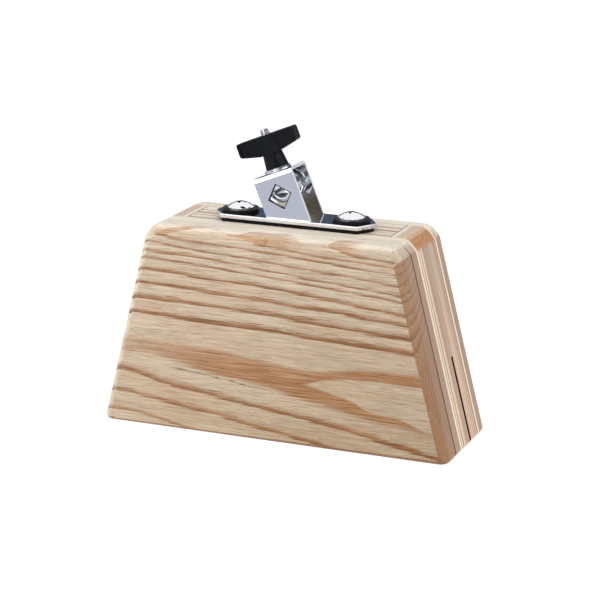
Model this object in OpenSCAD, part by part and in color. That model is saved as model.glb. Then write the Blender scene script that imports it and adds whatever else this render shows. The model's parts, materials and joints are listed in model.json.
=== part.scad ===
// Laminated wooden block with a slotted sound chamber, carried by a leaning rod clamp.
// Millimetres. The origin is the middle of the underside, +X along the block,
// +Y from the front board to the back board, +Z up.

/* [Block outline] */
// Length of the block along its underside
block_length = 230; // [200:1:280]
// Height of the block
block_height = 129; // [110:1:160]
// Length of the flat top between the cut corners
top_length = 156; // [140:1:176]
// Length of each cut corner along the block
corner_run = 6; // [3:0.5:9]
// Height of each cut corner
corner_drop = 7; // [4:0.5:10]
// Rounding of the two edges of each cut corner
corner_r = 8; // [3:0.5:10]
// Rounding of the outline where the ends meet the underside
toe_r = 2.5; // [1:0.5:5]
// Rounding of the top and end edges of the two outer boards
edge_r = 5.7; // [2:0.1:8]
// Rounding of the lower edges of the two outer boards
lower_edge_r = 1.5; // [0.5:0.1:2]

/* [Layers from front to back] */
// Thickness of the front board, the face that is struck
front_board_t = 16; // [10:0.5:22]
// Thickness of the liner glued behind the front board
front_liner_t = 9; // [3:0.5:12]
// Thickness of the pale veneer in front of the rails
front_veneer_t = 2.5; // [1:0.5:4]
// Depth of the rails, which is the depth of the sound chamber
core_t = 31; // [26:0.5:45]
// Thickness of the pale veneer behind the rails
rear_veneer_t = 2; // [1:0.5:4]
// Thickness of the back board
back_board_t = 12; // [10:0.5:20]

/* [Rails and slot] */
// Thickness of the sloping end rails, square to their outer face
end_rail_t = 15.5; // [10:0.5:22]
// Thickness of the top rail
top_rail_t = 16; // [15:0.5:24]
// Thickness of the bottom rails
bottom_rail_t = 14; // [8:0.5:22]
// Width of the sound slot
slot_w = 2.7; // [1.5:0.1:5]
// Height of the sound slot up the ends
slot_h = 54; // [30:1:80]
// Distance from the front of the rails to the middle of the slot
slot_from_core = 16; // [10:0.5:22]

/* [Mounting plate] */
// Distance of the clamp from the middle of the block
clamp_x = 2; // [-5:0.5:5]
// Length of the plate
plate_l = 104; // [100:1:116]
// Width of the plate
plate_w = 25; // [25:0.5:28]
// Thickness of the plate
plate_t = 2.5; // [1.5:0.5:4]
// Length of the tapered part at each end of the plate
plate_taper = 7; // [4:0.5:8]
// Width of the small flat at each tip of the plate
plate_tip_w = 4; // [3:0.5:8]
// Bevel along the upper rim of the plate
plate_bevel = 0.4; // [0.2:0.1:0.6]
// Thickness of the rubber gasket under the plate
gasket_t = 2.5; // [1:0.5:4]
// How far the gasket stands back from the rim of the plate
gasket_inset = 1.5; // [0.5:0.5:3]
// Distance between the two screws
screw_spacing = 73; // [68:1:76]

/* [Screws] */
// Diameter of the domed screw heads
screw_head_d = 17.1; // [12:0.1:19]
// Height of the domed screw heads
screw_head_h = 3.8; // [2.5:0.1:5]
// Height of the straight rim of a screw head
screw_rim_h = 0.8; // [0.3:0.1:1.5]
// Diameter of the screw shanks
screw_d = 4.8; // [3.5:0.1:6]
// Length of screw in the top rail
screw_bite = 12; // [8:0.5:13]
// Length of the point of a screw
screw_point = 3; // [1:0.5:4]
// Clearance between a screw and the holes that it passes
screw_clearance = 0.4; // [0.2:0.1:0.8]
// Clearance between a screw and its pilot hole
pilot_clearance = 0.03; // [0.01:0.01:0.05]
// Width of the arms of the cross recess
recess_w = 1.6; // [1:0.1:2.5]
// Length of the cross recess from end to end
recess_l = 7; // [4:0.5:9]
// Depth of the cross recess
recess_depth = 1.8; // [1:0.1:2.4]
// Diameter of the rubber washers
rubber_washer_d = 23; // [20:0.5:24]
// Thickness of the rubber washers
rubber_washer_t = 2.2; // [1.2:0.1:3]
// Rounding of the upper edge of the rubber washers
rubber_washer_r = 0.9; // [0.3:0.1:1.1]

/* [Clamp bracket] */
// Lean of the bolt axis from the vertical, towards the left
lean = 22; // [0:1:26]
// Width of the bracket square to the bolt axis
bracket_w = 26.6; // [24:0.1:30]
// Depth of the bracket from front to back
bracket_d = 23; // [22:0.1:23.4]
// Height of the bracket along the bolt axis
bracket_h = 30; // [28:0.5:36]
// Thickness of the bracket sheet
sheet_t = 2; // [1.5:0.1:2.5]
// Outer bend radius of the bracket sheet
bend_r = 3.2; // [2.6:0.1:5]
// Side of the square holes for the rod, which stand on a corner
rod_hole = 10.8; // [9.5:0.1:12]
// Height of the rod holes along the bolt axis
rod_hole_h = 15; // [13:0.5:17]
// Rounding of the corners of the rod holes
rod_hole_r = 1; // [0.3:0.1:2]

/* [Eye bolt] */
// Bore of the eye
eye_bore = 10.5; // [9.6:0.1:11.6]
// Wall of the eye around its bore
eye_wall = 3.5; // [2.5:0.1:4.5]
// Width of the eye along the rod
eye_w = 13; // [8:0.5:15]
// Rounding of the edges of the eye
eye_edge_r = 1; // [0.3:0.1:1.2]
// Gap left between the eye and the top of the bracket
eye_gap = 0.25; // [0.2:0.05:1]
// Diameter of the threaded shank
bolt_d = 6; // [5:0.5:7]
// Length of thread that stands out of the wing nut
bolt_out = 3.8; // [1:0.1:8]
// Chamfer at the tip of the shank
bolt_chamfer = 1.1; // [0.5:0.1:1.5]
// Radial clearance of the shank in the bracket and the washer
bolt_clearance = 0.35; // [0.2:0.05:0.6]
// Radial clearance of the shank in the nut's thread
thread_clearance = 0.05; // [0.02:0.01:0.09]

/* [Wing nut] */
// Diameter of the steel washer
washer_d = 16.6; // [14:0.1:19]
// Thickness of the steel washer
washer_t = 1.6; // [1:0.1:2.5]
// Gap between the washer and the nut
nut_gap = 0.1; // [0.05:0.05:0.3]
// Height of the wing nut
nut_h = 20.9; // [18:0.1:26]
// Diameter of the hub at the washer
hub_d = 14.4; // [13:0.1:18]
// Diameter of the hub at the wings
neck_d = 12.2; // [11.5:0.1:13]
// Height of the hub below the wings
neck_h = 9.1; // [7:0.1:10.5]
// Span of the wings from tip to tip
wing_span = 40; // [34:0.5:46]
// Height of the lower corner of each wing tip
wing_tip_h = 11.7; // [11:0.1:14]
// Thickness of the wings at their tips
wing_tip_t = 6.8; // [5:0.1:8]
// Rounding of the corners of the wings
wing_corner_r = 1.6; // [0.8:0.1:2]
// Width of the raised rim around the panels of the wings
panel_rim = 1.8; // [1:0.1:2.4]
// Depth of the panels of the wings
panel_depth = 0.6; // [0.2:0.1:1]
// Diameter of the threaded insert
insert_d = 8.4; // [7.6:0.1:9.5]
// Length of the threaded insert
insert_h = 12; // [9:0.5:15]

/* [Hidden] */
$fn = 48;

// Overrun of every cut past the face that it opens
cut = 1;
// Thickness of the thin slices that a rounded board is drawn over
slice = 0.01;
// Steps in the rounding of a board, in each toe of the outline and in each edge of a cut corner
round_steps = 6;
toe_steps = 4;
corner_steps = 3;

// Planes of the outline, each as the angle of its normal and its distance from the origin
shoulder_x = top_length / 2 + corner_run;
shoulder_z = block_height - corner_drop;
end_angle = atan2(block_length / 2 - shoulder_x, shoulder_z);
end_reach = block_length / 2 * cos(end_angle);
corner_angle = atan2(corner_run, corner_drop);
corner_reach = top_length / 2 * cos(corner_angle) + block_height * sin(corner_angle);

// Places of the layers from front to back
block_depth = front_board_t + front_liner_t + front_veneer_t + core_t + rear_veneer_t + back_board_t;
front_y = -block_depth / 2;
liner_y = front_y + front_board_t;
front_veneer_y = liner_y + front_liner_t;
core_y = front_veneer_y + front_veneer_t;
core_back_y = core_y + core_t;
back_board_y = core_back_y + rear_veneer_t;
back_y = block_depth / 2;
slot_front_y = core_y + slot_from_core - slot_w / 2;
slot_back_y = core_y + slot_from_core + slot_w / 2;

// Heights on the mounting plate
plate_z = block_height + gasket_t;
plate_top = plate_z + plate_t;
screw_seat = plate_top + rubber_washer_t;
screw_l = rubber_washer_t + plate_t + gasket_t + screw_bite;

// Size of the weld along the feet of the bracket, which ends where the plate's bevel begins
weld_size = (plate_w - bracket_d) / 2 - plate_bevel;

// Heights along the bolt axis, from the top of the plate
eye_r = eye_bore / 2 + eye_wall;
eye_h = bracket_h - sheet_t - eye_gap - eye_r;
nut_base = bracket_h + washer_t + nut_gap;
bolt_tip = nut_base + nut_h + bolt_out;

// Where a plane with a normal at this angle and this reach passes a height
function plane_x(angle, reach, z) = (reach - z * sin(angle)) / cos(angle);

// Where two such planes meet
function meet(a1, r1, a2, r2) = [
    (r1 * sin(a2) - r2 * sin(a1)) / sin(a2 - a1),
    (r2 * cos(a1) - r1 * cos(a2)) / sin(a2 - a1)
];

// Rounded toe at the foot of the right end, drawn in from the end and raised from the underside
function toe(inset, lift) = let (
    foot_z = lift + toe_r,
    foot_x = plane_x(end_angle, end_reach - inset - toe_r, foot_z)
) [for (k = [0 : toe_steps])
    let (angle = -90 + (90 + end_angle) * k / toe_steps)
    [foot_x + toe_r * cos(angle), foot_z + toe_r * sin(angle)]];

// Rounded edge where two such planes meet
function edge(a1, r1, a2, r2, radius) = let (centre = meet(a1, r1 - radius, a2, r2 - radius))
    [for (k = [0 : corner_steps])
        let (angle = a1 + (a2 - a1) * k / corner_steps)
        centre + radius * [cos(angle), sin(angle)]];

// Right side of the outline from the toe up to the flat top, its edges rounded about fixed centres
function right_side(inset, lift) = let (radius = max(corner_r - inset, slice)) concat(
    toe(inset, lift),
    edge(end_angle, end_reach - inset, corner_angle, corner_reach - inset, radius),
    edge(corner_angle, corner_reach - inset, 90, block_height - inset, radius)
);

// The same points on the left, taken in the opposite order
function mirrored(points) = [for (k = [len(points) - 1 : -1 : 0]) [-points[k].x, points[k].y]];

// Inner face of the right end rail at a height
function rail_x(z) = plane_x(end_angle, end_reach - end_rail_t, z);

// How far a rounded edge has drawn in at a depth below the face
function drawn_in(radius, depth) =
    depth < radius ? radius - sqrt(radius * radius - (radius - depth) * (radius - depth)) : 0;

// A flat shape given in X and Z, thickened from one Y to another
module layer(y_from, y_to) {
    translate([0, y_to, 0])
        rotate([90, 0, 0])
            linear_extrude(height = y_to - y_from)
                children();
}

// The whole outline of the block
module outline(inset = 0, lift = 0) {
    side = right_side(inset, lift);
    polygon(concat(side, mirrored(side)));
}

// A board whose outer face is at the given Y and whose body lies on the given side of it
module rounded_board(face_y, side, thickness) {
    hull() {
        for (k = [0 : round_steps]) {
            depth = edge_r * (1 - sin(90 - 90 * k / round_steps));
            near = face_y + side * depth;
            far = near + side * slice;
            layer(min(near, far), max(near, far))
                outline(drawn_in(edge_r, depth), drawn_in(lower_edge_r, depth));
        }
        inner = face_y + side * thickness;
        layer(min(inner, inner - side * slice), max(inner, inner - side * slice))
            outline();
    }
}

module front_board() {
    color("#dccbb0") rounded_board(front_y, 1, front_board_t);
}

module front_liner() {
    color("#b99a86") layer(liner_y, front_veneer_y) outline();
}

module front_veneer() {
    color("#e6d3b4") layer(front_veneer_y, core_y) outline();
}

module rear_veneer() {
    color("#e6d3b4") layer(core_back_y, back_board_y) outline();
}

module back_board() {
    color("#c9a98d") rounded_board(back_y, -1, back_board_t);
}

// Top rail between the end rails, with a pilot hole for each screw
module top_rail() {
    low = block_height - top_rail_t;
    color("#d3ad8e") difference() {
        layer(core_y, core_back_y)
            polygon([[rail_x(low), low], [rail_x(block_height), block_height],
                [-rail_x(block_height), block_height], [-rail_x(low), low]]);
        at_screws([-1, 1])
            translate([0, 0, block_height - screw_bite])
                cylinder(h = screw_bite + cut, r = screw_d / 2 + pilot_clearance);
    }
}

// Sloping end rail on the right, forked by the sound slot
module end_rail() {
    side = right_side(0, 0);
    difference() {
        layer(core_y, core_back_y)
            polygon(concat([[rail_x(0), 0]], side, [[rail_x(block_height), block_height]]));
        translate([0, slot_front_y, -cut])
            cube([block_length, slot_w, slot_h + cut]);
    }
}

module right_end_rail() {
    color("#c49a7c") end_rail();
}

module left_end_rail() {
    color("#c49a7c") mirror([1, 0, 0]) end_rail();
}

// Part of the bottom rail on one side of the slot
module bottom_rail(y_from, y_to) {
    layer(y_from, y_to)
        polygon([[-rail_x(0), 0], [rail_x(0), 0],
            [rail_x(bottom_rail_t), bottom_rail_t], [-rail_x(bottom_rail_t), bottom_rail_t]]);
}

module bottom_rail_front() {
    color("#d3ad8e") bottom_rail(core_y, slot_front_y);
}

module bottom_rail_rear() {
    color("#d3ad8e") bottom_rail(slot_back_y, core_back_y);
}

// Places the children at the screws on the given sides of the clamp
module at_screws(sides) {
    for (side = sides)
        translate([clamp_x + side * screw_spacing / 2, 0, 0])
            children();
}

// Outline of the plate with tapered ends, drawn in evenly
module plate_outline(inset) {
    half_w = plate_w / 2;
    half_tip = plate_tip_w / 2;
    rise = half_w - half_tip;
    taper_l = sqrt(rise * rise + plate_taper * plate_taper);
    reach = rise * plate_l / 2 + plate_taper * half_tip - inset * taper_l;
    tip_x = plate_l / 2 - inset;
    tip_y = (reach - rise * tip_x) / plate_taper;
    side_y = half_w - inset;
    side_x = (reach - plate_taper * side_y) / rise;
    corner = [[side_x, -side_y], [tip_x, -tip_y], [tip_x, tip_y], [side_x, side_y]];
    translate([clamp_x, 0])
        polygon(concat(corner, [for (p = corner) -p]));
}

// Holes for both screws
module screw_holes(z, height) {
    at_screws([-1, 1])
        translate([0, 0, z - cut])
            cylinder(h = height + 2 * cut, r = screw_d / 2 + screw_clearance);
}

module mount_gasket() {
    color("#1d1d1f") difference() {
        translate([0, 0, block_height])
            linear_extrude(height = gasket_t)
                plate_outline(gasket_inset);
        screw_holes(block_height, gasket_t);
    }
}

module base_plate() {
    color("#c9ccd6") difference() {
        hull() {
            translate([0, 0, plate_z])
                linear_extrude(height = plate_t - plate_bevel)
                    plate_outline(0);
            translate([0, 0, plate_top - plate_bevel])
                linear_extrude(height = plate_bevel)
                    plate_outline(plate_bevel);
        }
        screw_holes(plate_z, plate_t);
    }
}

// Domed screw with a cross recess, its seat at z = 0
module screw() {
    dome_h = screw_head_h - screw_rim_h;
    dome_r = (screw_head_d * screw_head_d / 4 + dome_h * dome_h) / (2 * dome_h);
    difference() {
        union() {
            cylinder(h = screw_rim_h, d = screw_head_d);
            intersection() {
                translate([0, 0, screw_head_h - dome_r])
                    sphere(r = dome_r, $fn = 96);
                translate([0, 0, screw_rim_h])
                    cylinder(h = dome_h, d = screw_head_d);
            }
            translate([0, 0, screw_point - screw_l])
                cylinder(h = screw_l - screw_point, d = screw_d);
            translate([0, 0, -screw_l])
                cylinder(h = screw_point, d1 = 0, d2 = screw_d);
        }
        for (turn = [0, 90])
            rotate([0, 0, turn])
                translate([-recess_l / 2, -recess_w / 2, screw_head_h - recess_depth])
                    cube([recess_l, recess_w, recess_depth + cut]);
    }
}

module mount_screw_left() {
    color("#d5d8df") at_screws([-1]) translate([0, 0, screw_seat]) screw();
}

module mount_screw_right() {
    color("#d5d8df") at_screws([1]) translate([0, 0, screw_seat]) screw();
}

// Rubber washer with a rounded upper edge, its underside at z = 0
module rubber_washer() {
    hole_r = screw_d / 2 + screw_clearance;
    rim = rubber_washer_d / 2 - rubber_washer_r;
    rotate_extrude() {
        translate([hole_r, 0])
            square([rubber_washer_d / 2 - hole_r, rubber_washer_t - rubber_washer_r]);
        translate([hole_r, 0])
            square([rim - hole_r, rubber_washer_t]);
        translate([rim, rubber_washer_t - rubber_washer_r])
            circle(r = rubber_washer_r);
    }
}

module screw_washer_left() {
    color("#232427") at_screws([-1]) translate([0, 0, plate_top]) rubber_washer();
}

module screw_washer_right() {
    color("#232427") at_screws([1]) translate([0, 0, plate_top]) rubber_washer();
}

// Frame of the bolt axis: z runs up the leaning axis from the top of the plate, x across it
module on_bolt_axis() {
    translate([clamp_x, 0, plate_top])
        rotate([0, -lean, 0])
            children();
}

// Arch with rounded upper corners, open to well below the plate
module arch(width, height, radius) {
    below = bracket_w;
    translate([-width / 2, -below])
        square([width, below + height - radius]);
    translate([radius - width / 2, 0])
        square([width - 2 * radius, height]);
    for (side = [-1, 1])
        translate([side * (width / 2 - radius), height - radius])
            circle(r = radius);
}

// Square with rounded corners, centred
module rounded_square(size, radius) {
    square([size, size - 2 * radius], center = true);
    square([size - 2 * radius, size], center = true);
    for (x = [-1, 1], y = [-1, 1])
        translate([x, y] * (size / 2 - radius))
            circle(r = radius);
}

// Hollow weld along the outer foot of a bracket wall, on the given side
module foot_weld(side) {
    width = bracket_w / cos(lean);
    bow = 2 * weld_size;
    translate([clamp_x - width / 2, side * (bracket_d / 2 - sheet_t / 2), plate_top])
        rotate([90, 0, 90])
            linear_extrude(height = width)
                difference() {
                    polygon([[0, 0], [side * (sheet_t / 2 + weld_size), 0],
                        [side * sheet_t / 2, weld_size], [0, weld_size]]);
                    translate([side * (sheet_t / 2 + bow), bow])
                        circle(r = sqrt(bow * bow + (bow - weld_size) * (bow - weld_size)));
                }
}

// Folded channel, open to the left and right, with a rod hole through both walls
module clamp_bracket() {
    color("#c6c8d4") {
        difference() {
            on_bolt_axis() difference() {
                rotate([90, 0, 90])
                    linear_extrude(height = bracket_w, center = true)
                        difference() {
                            arch(bracket_d, bracket_h, bend_r);
                            arch(bracket_d - 2 * sheet_t, bracket_h - sheet_t, bend_r - sheet_t);
                        }
                translate([0, 0, rod_hole_h])
                    rotate([90, 45, 0])
                        linear_extrude(height = bracket_d + 2 * cut, center = true)
                            rounded_square(rod_hole, rod_hole_r);
                translate([0, 0, bracket_h - sheet_t - cut])
                    cylinder(h = sheet_t + 2 * cut, r = bolt_d / 2 + bolt_clearance);
            }
            translate([clamp_x - bracket_h - bracket_w, -bracket_d, plate_top - bracket_h - bracket_w])
                cube([2 * (bracket_h + bracket_w), 2 * bracket_d, bracket_h + bracket_w]);
        }
        foot_weld(-1);
        foot_weld(1);
    }
}

module clamp_washer() {
    color("#d0d3da") on_bolt_axis() translate([0, 0, bracket_h]) difference() {
        cylinder(h = washer_t, d = washer_d);
        translate([0, 0, -cut])
            cylinder(h = washer_t + 2 * cut, r = bolt_d / 2 + bolt_clearance);
    }
}

// Eye bolt, drawn up until the eye all but meets the top of the bracket
module eye_bolt() {
    flat_w = eye_w - 2 * eye_edge_r;
    flat_wall = eye_wall - 2 * eye_edge_r;
    root = eye_h + eye_bore / 2 + eye_wall / 2;
    color("#cdd0d8") on_bolt_axis() {
        translate([0, 0, eye_h])
            rotate([90, 0, 0])
                rotate_extrude()
                    translate([eye_bore / 2 + eye_wall / 2, 0]) {
                        square([eye_wall, flat_w], center = true);
                        square([flat_wall, eye_w], center = true);
                        for (x = [-1, 1], y = [-1, 1])
                            translate([x * flat_wall / 2, y * flat_w / 2])
                                circle(r = eye_edge_r);
                    }
        translate([0, 0, root])
            cylinder(h = bolt_tip - bolt_chamfer - root, d = bolt_d);
        translate([0, 0, bolt_tip - bolt_chamfer])
            cylinder(h = bolt_chamfer, d1 = bolt_d, d2 = bolt_d - 2 * bolt_chamfer);
    }
}

// Wings seen along the rod, with rounded tips
module wing_profile() {
    tip_x = wing_span / 2 - wing_corner_r;
    hull() {
        for (side = [-1, 1]) {
            translate([side * tip_x, wing_tip_h + wing_corner_r])
                circle(r = wing_corner_r, $fn = 32);
            translate([side * tip_x, nut_h - wing_corner_r])
                circle(r = wing_corner_r, $fn = 32);
        }
        translate([-neck_d / 2, neck_h])
            square([neck_d, nut_h - neck_h]);
    }
}

// Wings seen along the bolt: a round middle, with flat flanks that leave it as tangents
module wing_plan(inset = 0) {
    neck_r = neck_d / 2 - inset;
    far = [wing_span / 2, wing_tip_t / 2 - inset];
    meets_at = atan2(far.y, far.x) + acos(neck_r / norm(far));
    near = [neck_r * cos(meets_at), neck_r * sin(meets_at)];
    polygon([near, far, [far.x, -far.y], [near.x, -near.y],
        -near, -far, [-far.x, far.y], [-near.x, near.y]]);
    circle(r = neck_r);
}

// Panel in the right wing, seen along the rod
module wing_panel() {
    rise = (wing_tip_h - neck_h) / (wing_span / 2 - wing_corner_r - neck_d / 2);
    near_x = neck_d / 2 + panel_rim;
    far_x = wing_span / 2 - panel_rim;
    near_z = neck_h + panel_rim + rise * (near_x - neck_d / 2);
    far_z = neck_h + panel_rim + rise * (far_x - neck_d / 2);
    top_z = nut_h - panel_rim;
    polygon([[near_x, near_z], [far_x, far_z], [far_x, top_z], [near_x, top_z]]);
}

// Moulded wing nut with a pocket for the insert and a hole for the shank
module wing_nut() {
    color("#26282b") on_bolt_axis() translate([0, 0, nut_base]) difference() {
        union() {
            difference() {
                intersection() {
                    rotate([90, 0, 0])
                        linear_extrude(height = hub_d, center = true)
                            wing_profile();
                    linear_extrude(height = nut_h)
                        wing_plan();
                }
                for (side = [0, 1])
                    mirror([side, 0, 0])
                        difference() {
                            rotate([90, 0, 0])
                                linear_extrude(height = hub_d, center = true)
                                    wing_panel();
                            linear_extrude(height = nut_h)
                                wing_plan(panel_depth);
                        }
            }
            cylinder(h = neck_h, d1 = hub_d, d2 = neck_d);
        }
        translate([0, 0, -cut])
            cylinder(h = insert_h + cut, d = insert_d);
        cylinder(h = nut_h + cut, r = bolt_d / 2 + bolt_clearance);
    }
}

module wing_nut_insert() {
    color("#c9b26a") on_bolt_axis() translate([0, 0, nut_base]) difference() {
        cylinder(h = insert_h, d = insert_d);
        translate([0, 0, -cut])
            cylinder(h = insert_h + 2 * cut, r = bolt_d / 2 + thread_clearance);
    }
}

front_board();
front_liner();
front_veneer();
top_rail();
left_end_rail();
right_end_rail();
bottom_rail_front();
bottom_rail_rear();
rear_veneer();
back_board();
mount_gasket();
base_plate();
clamp_bracket();
mount_screw_left();
mount_screw_right();
screw_washer_left();
screw_washer_right();
clamp_washer();
eye_bolt();
wing_nut();
wing_nut_insert();
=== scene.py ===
"""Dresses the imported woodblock: lacquered ash layers, a chromed rod clamp and a black wing nut."""

import json
import math

import bmesh
import bpy
from bpy.props import FloatProperty, FloatVectorProperty, IntProperty, PointerProperty
from bpy.types import Operator, Panel, PropertyGroup
from mathutils import Matrix, Vector


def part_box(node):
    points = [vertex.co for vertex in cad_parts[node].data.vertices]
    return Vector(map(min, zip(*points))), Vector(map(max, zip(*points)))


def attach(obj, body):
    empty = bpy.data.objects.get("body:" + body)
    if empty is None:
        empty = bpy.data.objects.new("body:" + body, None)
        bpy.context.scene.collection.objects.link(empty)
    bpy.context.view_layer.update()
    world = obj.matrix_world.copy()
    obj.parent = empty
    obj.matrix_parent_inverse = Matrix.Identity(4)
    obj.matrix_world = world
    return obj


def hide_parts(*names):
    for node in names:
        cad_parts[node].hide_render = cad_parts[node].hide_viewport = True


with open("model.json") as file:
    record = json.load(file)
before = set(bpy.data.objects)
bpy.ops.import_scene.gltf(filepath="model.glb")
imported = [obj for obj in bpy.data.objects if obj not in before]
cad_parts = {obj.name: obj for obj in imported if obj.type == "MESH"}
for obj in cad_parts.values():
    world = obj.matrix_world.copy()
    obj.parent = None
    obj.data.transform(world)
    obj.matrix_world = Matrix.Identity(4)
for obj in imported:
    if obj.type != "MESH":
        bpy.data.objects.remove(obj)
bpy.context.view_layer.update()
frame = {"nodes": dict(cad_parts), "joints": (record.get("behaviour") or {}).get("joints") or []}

bl_info = {
    "name": "Woodblock dresser",
    "version": (1, 0, 0),
    "blender": (4, 5, 0),
    "location": "View3D > Sidebar > Woodblock",
    "description": "Gives the packed woodblock its timber, chrome, rubber and moulded nut",
    "category": "Object",
}

MM = 0.001
MERGE_DISTANCE = 0.002 * MM
NUT_JOINT = next(joint for joint in frame["joints"] if joint["name"] == "wing_nut_turn")
BOLT_FOOT = Vector(NUT_JOINT["pos_m"])
BOLT_AXIS = Vector(NUT_JOINT["axis"]).normalized()
BOLT_FRAME = Matrix.Translation(BOLT_FOOT) @ BOLT_AXIS.to_track_quat("Z", "Y").to_matrix().to_4x4()

# Triangles that meet flatter than the first angle are one face. Edges sharper than the others stay sharp.
FLAT_ANGLE = math.radians(0.5)
SMOOTH_ANGLE = math.radians(32)
THREAD_ANGLE = math.radians(35)
STAMPED_ANGLE = math.radians(40)

# Options that many nodes share: a Map Range that eases in and out, and a Mix of colours.
EASED = {"interpolation_type": "SMOOTHSTEP"}
COLOUR = {"data_type": "RGBA"}


def srgb(code):
    """Linear red, green and blue of an sRGB hex colour."""
    shares = [int(code[i : i + 2], 16) / 255 for i in (0, 2, 4)]
    return tuple(s / 12.92 if s <= 0.04045 else ((s + 0.055) / 1.055) ** 2.4 for s in shares)


def colour_property(name, description, code):
    """A colour that a user may change, written as an sRGB hex value."""
    return FloatVectorProperty(
        name=name, description=description, subtype="COLOR", size=3, min=0, max=1, default=srgb(code)
    )


def length_property(name, description, default, least):
    """A length that a user may change, written in mm."""
    return FloatProperty(name=name, description=description, default=default * MM, min=least * MM, unit="LENGTH")


class WoodSettings(PropertyGroup):
    """Colours and figure of the glued timber layers."""

    pale: colour_property("Pale ash", "Earlier wood between the growth stripes", "CFBEA7")
    tinge: colour_property("Tinge", "Warmer clouds in the pale wood", "C8B39A")
    foot: colour_property("Stripe foot", "Darkest line at the foot of each stripe", "825632")
    stripe: colour_property("Stripe", "Tan growth stripes on the struck face", "A06D40")
    flame: colour_property("Flame", "Broad brown figure below the middle", "A67349")
    arrow: colour_property("Arrows", "Orange wedges of figure on the upper edge", "B27A44")
    fibre: colour_property("Fibre", "Open pores and fine dark fibres", "7A5233")
    end_pale: colour_property("End grain", "Cut ends of the ash boards", "A78366")
    end_dark: colour_property("End rings", "Growth rings on the cut ends", "75533A")
    liner: colour_property("Liner", "Layer behind the struck board", "AA876E")
    veneer: colour_property("Veneer", "Thin pale layers beside the rails", "F2E3C8")
    rail: colour_property("Rail", "Long grain of the end rails", "E2BA99")
    rail_grey: colour_property("Rail heart", "Grey-green streaks in the end rails", "B5A58E")
    rail_dark: colour_property("Rail streaks", "Darker streaks in the end rails", "B08066")
    rail_end: colour_property("Rail end grain", "Cut tops of the end rails", "C88F62")
    # Cream is the rails' own long grain, and also painted light: it is laid on the up-facing faces of the boards, the
    # liner and the end rails, and on the struck board's left rounding, where the key lamp falls.
    cream: colour_property("Cream ash", "Long grain of the top and bottom rails", "FDF2E0")
    glue: colour_property("Glue line", "Dark line between the struck board and the liner", "5A3D30")
    crack: colour_property("Crack", "Hair crack below the flame", "3C2412")
    # The slot wall colour is painted shade, laid nearly black for the deep narrow slot.
    slot: colour_property("Slot wall", "Raw walls of the sound slot", "20130C")
    fibre_length: length_property("Fibre length", "Length of the fine streaks", 34, 1)
    # Real pores are about 0.3 mm wide. They are drawn coarser, so that they show.
    fibre_width: length_property("Fibre width", "Width of the fine streaks", 0.7, 0.1)
    roughness: FloatProperty(
        name="Lacquer roughness",
        description="Satin lacquer over the timber",
        default=0.42,
        min=0,
        max=1,
        subtype="FACTOR",
    )


class MetalSettings(PropertyGroup):
    """Finish of the clamp and its screws."""

    chrome: colour_property("Chrome", "Bright plating of the bracket and the plate", "DCDEE4")
    dome: colour_property("Domes", "Bright plating of the screws", "F3F4F6")
    bolt: colour_property("Plated steel", "Plating of the eye bolt and washer", "CFD1D6")
    brass: colour_property("Brass", "Threaded bush inside the nut", "C9A45C")
    # The bracket's inside tone is painted shade between the walls, with a painted reflection of the wood.
    inside: colour_property("Bracket inside", "Thinner, smoky plating between the walls", "B2AB9E")
    # The hole rim colour is a painted dark reflection in the rounded rims of the square holes.
    rim: colour_property("Hole rim", "Dark rounded rim of the square holes", "1E2229")
    pitch: length_property("Thread pitch", "Pitch of the M6 thread", 1, 0.2)
    thread_depth: length_property("Thread depth", "Height of the M6 thread", 0.55, 0.1)
    edge: length_property("Edge", "Rounding of the stamped edges", 0.85, 0.05)
    thread_sides: IntProperty(name="Thread sides", description="Facets in each turn of the thread", default=24, min=8)


class BlackSettings(PropertyGroup):
    """Finish of the rubber and of the moulded nut."""

    rubber: colour_property("Rubber", "Gasket and screw washers", "0A0B0E")
    plastic: colour_property("Nut", "Moulded wing nut", "0A0D12")
    dust: colour_property("Dust", "Fine dust on the rubber and the nut", "6E7378")


class StudioSettings(PropertyGroup):
    """Camera and light."""

    lens: FloatProperty(name="Lens", description="Focal length in mm", default=129.06, min=20, unit="CAMERA")
    yaw: FloatProperty(
        name="Yaw",
        description="Camera's turn to the right of the struck face",
        default=math.radians(22.54),
        subtype="ANGLE",
    )
    pitch: FloatProperty(
        name="Pitch",
        description="Camera's height above the horizon",
        default=math.radians(15.96),
        subtype="ANGLE",
    )
    distance: length_property("Distance", "Camera to target", 1323.6, 100)
    reach: length_property("Reach", "Lamp to block", 600, 200)
    key: FloatProperty(name="Key", description="Soft lamp at the upper left", default=2.66, min=0, unit="POWER")
    fill: FloatProperty(name="Fill", description="Strength of the soft lamp at the right", default=1.25, min=0)
    sky: FloatProperty(name="Sky", description="Strength of the white surroundings", default=0.5, min=0)
    floor: colour_property("Floor", "White studio floor", "EDEDED")


def add(tree, kind, *values, named=None, **options):
    """Adds one node, such as Mix or Math:ADD, and gives its options and its sockets their values or links."""
    kind, _, operation = kind.partition(":")
    made = tree.nodes.new("ShaderNode" + kind)
    if operation:
        made.operation = operation
    for option, value in options.items():
        setattr(made, option, value)
    wanted = list(zip([socket for socket in made.inputs if socket.enabled], values))
    wanted += [(made.inputs[name], value) for name, value in (named or {}).items()]
    for socket, value in wanted:
        if isinstance(value, bpy.types.Node):
            value = next(end for end in value.outputs if end.enabled)
        if isinstance(value, bpy.types.NodeSocket):
            tree.links.new(value, socket)
        else:
            socket.default_value = (*value, 1) if socket.type == "RGBA" else value
    return made


def new_material(name):
    """An empty procedural material, and its node tree."""
    material = bpy.data.materials.new(name)
    material.use_nodes = True
    material.node_tree.nodes.clear()
    return material, material.node_tree


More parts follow.
